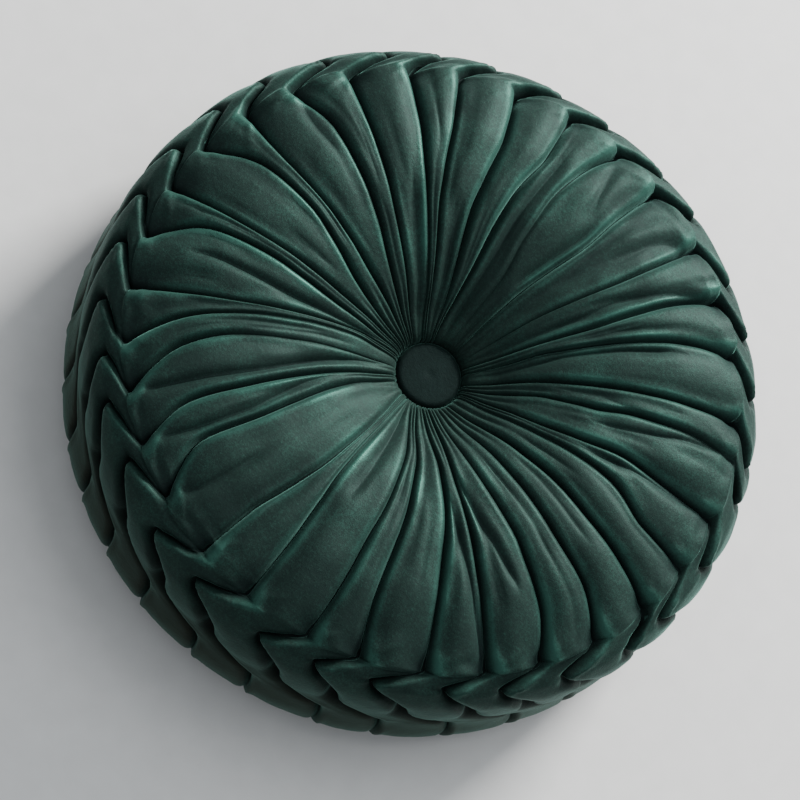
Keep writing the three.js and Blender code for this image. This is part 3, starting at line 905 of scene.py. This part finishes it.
class Finish:
    """One material and its nodes."""

    def __init__(self, name):
        self.material = bpy.data.materials.new(name)
        self.material.use_nodes = True
        self.tree = self.material.node_tree
        self.tree.nodes.clear()

    def node(self, kind, settings=None, sockets=None):
        node = self.tree.nodes.new(kind)
        for key, value in (settings or {}).items():
            if key == "stops":
                set_stops(node.color_ramp, value)
            else:
                setattr(node, key, value)
        for key, value in (sockets or {}).items():
            if isinstance(value, Value):
                self.tree.links.new(value.socket, node.inputs[key])
            else:
                node.inputs[key].default_value = value
        return Node(self, node)

    def attribute(self, name):
        return self.node("ShaderNodeAttribute", {"attribute_name": name}).out("Fac")

    def blend(self, factor, colour, other):
        """Mixes two colours. A Mix node's colour sockets share a name, so they go by place."""
        sockets = {"Factor": factor, 6: colour, 7: (*other, 1)}
        mix = self.node("ShaderNodeMix", {"data_type": "RGBA"}, sockets)
        return Value(self, mix.node.outputs[2])

    def close(self, shader):
        self.node("ShaderNodeOutputMaterial", None, {"Surface": shader.out("BSDF")})
        return self.material


def set_stops(ramp, stops):
    while len(ramp.elements) < len(stops):
        ramp.elements.new(1)
    for element, (place, colour) in zip(ramp.elements, stops):
        element.position = place
        element.color = (*colour, 1)


# The velvet's mottles: scale, detail, roughness and distortion.
PATCHES = (38, 3, 0.55, 0.4)
STREAKS = (150, 3, 0.6, 1.2)
GRAIN = (520, 4, 0.7, 0.0)
FIBRES = (1500, 3, 0.75, 0.0)
# How much each counts in the nap and in the relief.
PATCHES_IN_NAP = 0.3
FIBRES_IN_NAP = 0.6
# How far the painted highlight lightens the lips' crests.
CREST_PAINTED_HIGHLIGHT = 0.7
NAP_DROP = 0.1
STREAKS_IN_RELIEF = 0.8
GRAIN_IN_RELIEF = 0.7
FIBRES_IN_RELIEF = 0.5
# Where on the nap its three colours stand: the ground, the pile, and the lightest pile, which the
# mottles reach at random and the painted highlight reaches along the lips' crests.
NAP_STOPS = (0.22, 0.55, 0.9)
# The lustre of the pile, and what it loses in hollows and low on the band.
LUSTRE = 0.38
LUSTRE_LOST_IN_HOLLOW = 0.3
LUSTRE_LOST_LOW = 0.25
MATTNESS = 0.46
GRAIN_MATTNESS = 0.14
CREST_GLOSS = 0.16
# How strongly creases and slits are darkened by painted shade.
CREASE_SHADE_POWER = 1.6
CREASE_SHADE_SHARE = 0.7
SLIT_SHADE_SHARE = 0.9

COVER_COLOURS = ((0.0115, 0.0165, 0.0170), (0.0165, 0.0320, 0.0275), (0.0310, 0.0900, 0.0710))
COVER_CRUSHED = 0.4
BUTTON_COLOURS = ((0.0060, 0.0095, 0.0092), (0.0090, 0.0165, 0.0152), (0.0145, 0.0310, 0.0272))
BUTTON_CRUSHED = 0.35
# Painted shade: the colours the cover is darkened towards in creases, low on the band and in
# slits.
PAINTED_SHADE_COLOURS = {
    "crease": (0.0120, 0.0145, 0.0165),
    "low": (0.0150, 0.0088, 0.0045),
    "slit": (0.0020, 0.0022, 0.0024),
}


def velvet(name, colours, crushed, folds=None):
    """Short-pile velvet: a dark ground, a nap that takes the light in patches, and fine grain."""
    finish = Finish(name)
    where = finish.node("ShaderNodeTexCoord").out("Object")

    def mottle(scale, detail, roughness, distortion):
        sockets = {"Vector": where, "Scale": scale, "Detail": detail, "Roughness": roughness}
        sockets["Distortion"] = distortion
        return finish.node("ShaderNodeTexNoise", None, sockets).out("Fac")

    patches, streaks, grain, fibres = (mottle(*row) for row in (PATCHES, STREAKS, GRAIN, FIBRES))
    nap = patches * PATCHES_IN_NAP + grain * crushed + fibres * FIBRES_IN_NAP - NAP_DROP
    metallic = LUSTRE
    roughness = MATTNESS + grain * GRAIN_MATTNESS
    # On the cover, painted shade darkens creases, the band low down and slits, and a painted
    # highlight lightens the lips' crests.
    if folds:
        shades = ("hollow", "crest", "low", "slit")
        hollow, crest, low, slit = (finish.attribute(shade) for shade in shades)
        metallic = LUSTRE - hollow * LUSTRE_LOST_IN_HOLLOW - low * LUSTRE_LOST_LOW
        roughness = roughness - crest * CREST_GLOSS
        # Painted highlight: the colour is lightened along the lips' crests.
        nap = nap + crest * patches * CREST_PAINTED_HIGHLIGHT
    stops = tuple(zip(NAP_STOPS, colours))
    tint = finish.node("ShaderNodeValToRGB", {"stops": stops}, {"Fac": nap}).out("Color")
    if folds:
        # Painted shade in the creases, by how deep they are.
        tint = finish.blend(hollow**CREASE_SHADE_POWER * CREASE_SHADE_SHARE, tint, folds["crease"])
        # Painted shade low on the band: darker and browner towards the floor.
        tint = finish.blend(low, tint, folds["low"])
        # Painted shade in and beside the slits of the band.
        tint = finish.blend(slit * SLIT_SHADE_SHARE, tint, folds["slit"])
    relief = streaks * STREAKS_IN_RELIEF + grain * GRAIN_IN_RELIEF + fibres * FIBRES_IN_RELIEF
    bump = finish.node(
        "ShaderNodeBump", None, {"Strength": 0.4, "Distance": 0.0005, "Height": relief}
    ).out("Normal")
    shader = finish.node(
        "ShaderNodeBsdfPrincipled",
        None,
        {
            "Base Color": tint,
            "Roughness": roughness,
            "Metallic": metallic,
            "Specular IOR Level": 0.02,
            "Sheen Weight": 0.3,
            "Sheen Roughness": 0.36,
            "Sheen Tint": (0.3, 0.7, 0.58, 1),
            "Normal": bump,
        },
    )
    return finish.close(shader)


FLOOR_SIZE = 6
FLOOR_STOPS = ((0.3, (0.78, 0.78, 0.77)), (0.7, (0.82, 0.82, 0.81)))


def plain_floor():
    finish = Finish("pale_floor")
    where = finish.node("ShaderNodeTexCoord").out("Object")
    sockets = {"Vector": where, "Scale": 60, "Detail": 3}
    grain = finish.node("ShaderNodeTexNoise", None, sockets).out("Fac")
    tint = finish.node("ShaderNodeValToRGB", {"stops": FLOOR_STOPS}, {"Fac": grain}).out("Color")
    shader = finish.node("ShaderNodeBsdfPrincipled", None, {"Base Color": tint, "Roughness": 0.85})
    return finish.close(shader)


# The cushion.
hub = box_centre("top_button")
cover = build_cover(hub)
green_velvet = velvet("green_velvet", COVER_COLOURS, COVER_CRUSHED, PAINTED_SHADE_COLOURS)
cover.data.materials.append(green_velvet)
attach(cover, "root")
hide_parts("cushion")

button_velvet = velvet("button_velvet", BUTTON_COLOURS, BUTTON_CRUSHED)
for button_name, button_node, faces_up in (
    ("covered_button_top", "top_button", True),
    ("covered_button_bottom", "bottom_button", False),
):
    button = build_button(button_name, button_node, faces_up)
    button.data.materials.append(button_velvet)
    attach(button, "root")
    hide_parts(button_node)

# The floor.
deselect_all()
bpy.ops.mesh.primitive_plane_add(size=FLOOR_SIZE, location=(0, 0, 0))
floor = take_new("pale_floor")
floor.data.materials.append(plain_floor())

# The camera, at the photograph's angle to the face. The target is the middle of the cushion.
TILT = 24.5
ROLL = 44.4
DISTANCE = 2.0
TARGET = Vector((0, 0, 0.060))
IMAGE_SIDE = 800
TARGET_PIXEL = (414, 389)
PIXELS_PER_MM = 1.817
SENSOR = 36.0
NEAREST = 0.05

# The lights: name, azimuth, elevation, distance, size, power and colour.
LIGHTS = (
    ("window_side", 86, 23, 2.2, 0.8, 140, (1.0, 0.99, 0.97)),
    ("overhead", 60, 70, 2.4, 1.4, 18, (0.95, 0.98, 1.0)),
)
ROOM_COLOUR = (0.9, 0.95, 1.0, 1)
ROOM_STRENGTH = 0.48


def place_camera():
    tilt, roll = math.radians(TILT), math.radians(ROLL)
    sideways = Vector((1, 0, 0))
    back = Vector((0, -math.sin(tilt), math.cos(tilt)))
    up = back.cross(sideways)
    right = math.cos(roll) * sideways + math.sin(roll) * up
    top = math.cos(roll) * up - math.sin(roll) * sideways
    data = bpy.data.cameras.new("photo_camera")
    data.sensor_width = SENSOR
    data.lens = PIXELS_PER_MM * DISTANCE / MM * SENSOR / IMAGE_SIDE
    data.shift_x = (IMAGE_SIDE / 2 - TARGET_PIXEL[0]) / IMAGE_SIDE
    data.shift_y = (TARGET_PIXEL[1] - IMAGE_SIDE / 2) / IMAGE_SIDE
    data.clip_start = NEAREST
    camera = bpy.data.objects.new("photo_camera", data)
    bpy.context.scene.collection.objects.link(camera)
    turn = Matrix((right, top, back)).transposed().to_4x4()
    camera.matrix_world = Matrix.Translation(TARGET + back * DISTANCE) @ turn
    bpy.context.scene.camera = camera


def add_light(name, azimuth, elevation, distance, size, power, colour):
    """A square soft box that faces the middle of the cushion."""
    turn, rise = math.radians(azimuth), math.radians(elevation)
    level = math.cos(rise)
    away = Vector((math.cos(turn) * level, math.sin(turn) * level, math.sin(rise)))
    data = bpy.data.lights.new(name, "AREA")
    data.shape = "SQUARE"
    data.size = size
    data.energy = power
    data.color = colour
    light = bpy.data.objects.new(name, data)
    bpy.context.scene.collection.objects.link(light)
    light.location = TARGET + away * distance
    light.rotation_mode = "QUATERNION"
    light.rotation_quaternion = away.to_track_quat("Z", "Y")


def light_room():
    world = bpy.data.worlds.new("soft_room")
    world.use_nodes = True
    background = world.node_tree.nodes["Background"]
    background.inputs["Color"].default_value = ROOM_COLOUR
    background.inputs["Strength"].default_value = ROOM_STRENGTH
    bpy.context.scene.world = world
    for light in LIGHTS:
        add_light(*light)


place_camera()
light_room()
